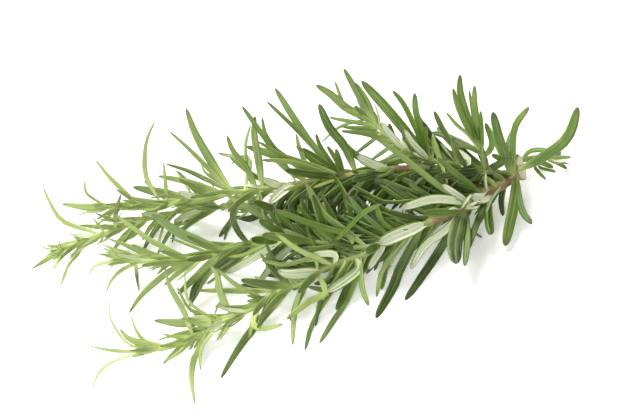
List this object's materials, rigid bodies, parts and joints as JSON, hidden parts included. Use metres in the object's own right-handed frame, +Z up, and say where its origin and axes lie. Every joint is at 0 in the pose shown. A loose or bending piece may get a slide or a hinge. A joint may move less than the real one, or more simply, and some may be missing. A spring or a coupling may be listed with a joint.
{
  "type": "rosemary sprig",
  "caption": "Cut branching sprig of rosemary lying on its side, with narrow leaves in opposite pairs along its leafy stems and a slanted woody cut end.",
  "frame": {"origin": "on the table, under the middle of the sprig's box in plan", "axes": "+X towards the cut end, along the sprig's longest extent; +Y towards the back limb; +Z up from the table"},
  "size_m": [0.1876, 0.1166, 0.0461],
  "materials": {
    "leaf": "waxy leathery leaf, satin above and felted pale below",
    "bark": "matt young bark, pale where it is cut"
  },
  "bodies": {
    "root": {"leader_shoot": "leaf", "middle_shoot": "leaf", "back_limb": "leaf", "low_shoot": "leaf", "upper_spray": "leaf", "upright_spray": "leaf", "heel_spray": "leaf"}
  },
  "joints": []
}
